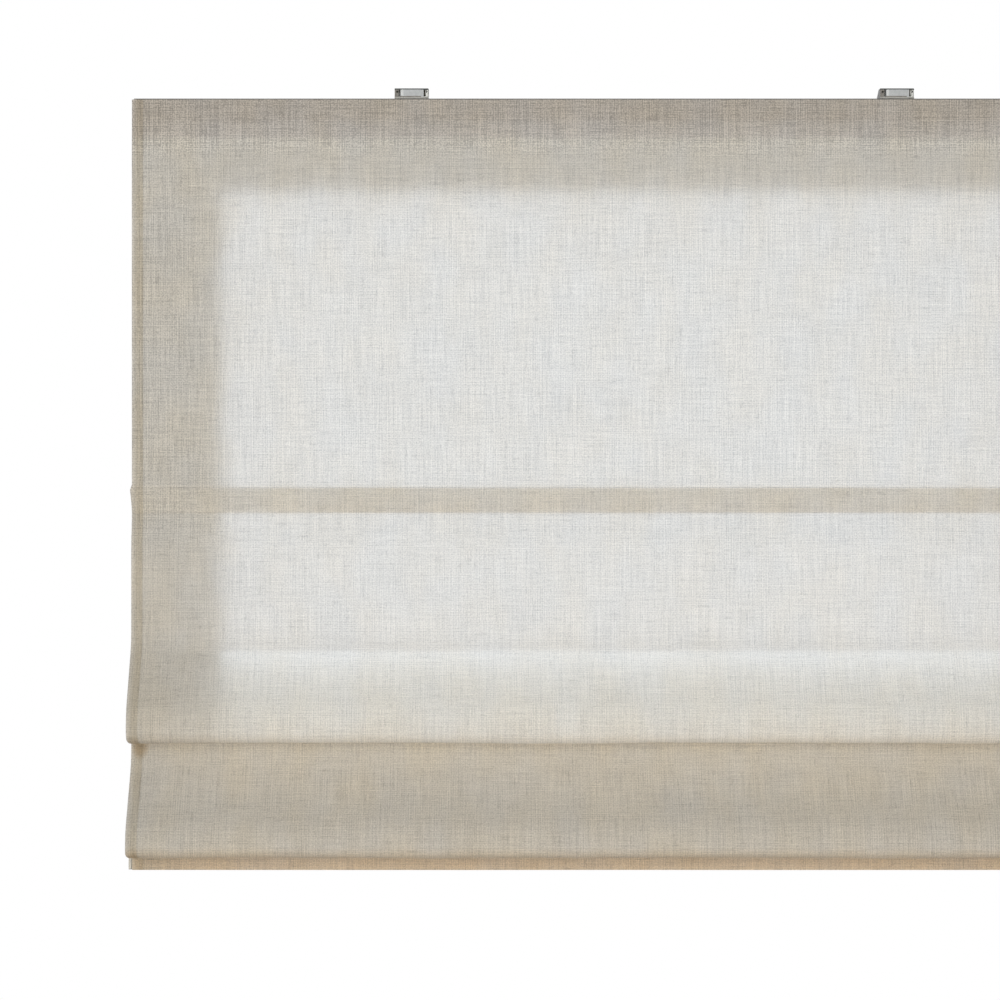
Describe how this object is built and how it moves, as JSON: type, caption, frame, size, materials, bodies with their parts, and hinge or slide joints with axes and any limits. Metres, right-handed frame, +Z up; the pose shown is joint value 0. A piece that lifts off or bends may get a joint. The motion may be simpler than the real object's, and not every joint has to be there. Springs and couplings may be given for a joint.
{
  "type": "roman blind",
  "caption": "Cordless roman blind of linen-look cloth, partly raised in soft folds, on a shallow headrail with spring-lever brackets, a sprung lift shaft and a weighted bottom bar.",
  "frame": {"origin": "midway between the two brackets' ceiling screw holes, on the face that meets the ceiling", "axes": "+Z up, out of the brackets' top towards the ceiling; +X along the headrail to the right as seen from the room; -Y towards the room"},
  "size_m": [1.006, 0.0862, 0.782],
  "materials": {
    "linen": "matte",
    "rail": "satin",
    "bar": "satin",
    "bracket_steel": "satin",
    "shaft_steel": "satin",
    "white_plastic": "satin",
    "clear_lath": "satin",
    "case_plastic": "matte",
    "spring_steel": "satin",
    "tape": "matte",
    "cord": "matte"
  },
  "bodies": {
    "headrail": {"headrail": "rail", "end_cap_left": "white_plastic", "end_cap_right": "white_plastic", "bracket_left": "bracket_steel", "bracket_right": "bracket_steel", "hook_tape": "tape", "loop_tape": "tape", "blind_cloth": "linen", "cord_cradle_left": "white_plastic", "cord_cradle_right": "white_plastic", "spring_motor_case": "case_plastic", "spring_motor_lid": "case_plastic", "lift_cord_left": "cord", "lift_cord_right": "cord"},
    "lift_shaft": {"lift_shaft": "shaft_steel", "cord_spool_left": "white_plastic", "cord_spool_right": "white_plastic", "spring_drum": "spring_steel"},
    "lever_left": {"bracket_lever_left": "white_plastic"},
    "lever_right": {"bracket_lever_right": "white_plastic"},
    "batten_1": {"batten_1": "clear_lath", "cord_guides_1": "white_plastic"},
    "batten_2": {"batten_2": "clear_lath", "cord_guides_2": "white_plastic"},
    "batten_3": {"batten_3": "clear_lath", "cord_guides_3": "white_plastic", "bottom_bar": "bar", "bar_cap_left": "white_plastic", "bar_cap_right": "white_plastic"}
  },
  "joints": [
    {"name": "batten_1_lift", "type": "slide", "parent": "headrail", "child": "batten_1", "axis": [0, 0, 1], "range_m": [0, 0.35], "deforming": ["blind_cloth", "lift_cord_left", "lift_cord_right"]},
    {"name": "batten_2_lift", "type": "slide", "parent": "batten_1", "child": "batten_2", "axis": [0, 0, 1], "range_m": [-0.1715, 0.1445], "deforming": ["blind_cloth", "lift_cord_left", "lift_cord_right"]},
    {"name": "batten_3_lift", "type": "slide", "parent": "batten_2", "child": "batten_3", "axis": [0, 0, 1], "range_m": [-0.316, 0], "deforming": ["blind_cloth", "lift_cord_left", "lift_cord_right"]},
    {"name": "lift_shaft_turn", "type": "hinge", "parent": "headrail", "child": "lift_shaft", "pos_m": [-0.023, 0.0086, -0.023], "axis": [1, 0, 0], "range_deg": [-1110, 1315]},
    {"name": "lever_left_turn", "type": "hinge", "parent": "headrail", "child": "lever_left", "pos_m": [-0.237, 0.0086, -0.0084], "axis": [0, 0, 1], "range_deg": [0, 90]},
    {"name": "lever_right_turn", "type": "hinge", "parent": "headrail", "child": "lever_right", "pos_m": [0.249, 0.0086, -0.0084], "axis": [0, 0, 1], "range_deg": [0, 90]}
  ],
  "couplings": [
    {"joint": "lift_shaft_turn", "follows": "batten_2_lift", "rad_per_m": -133.33}
  ]
}
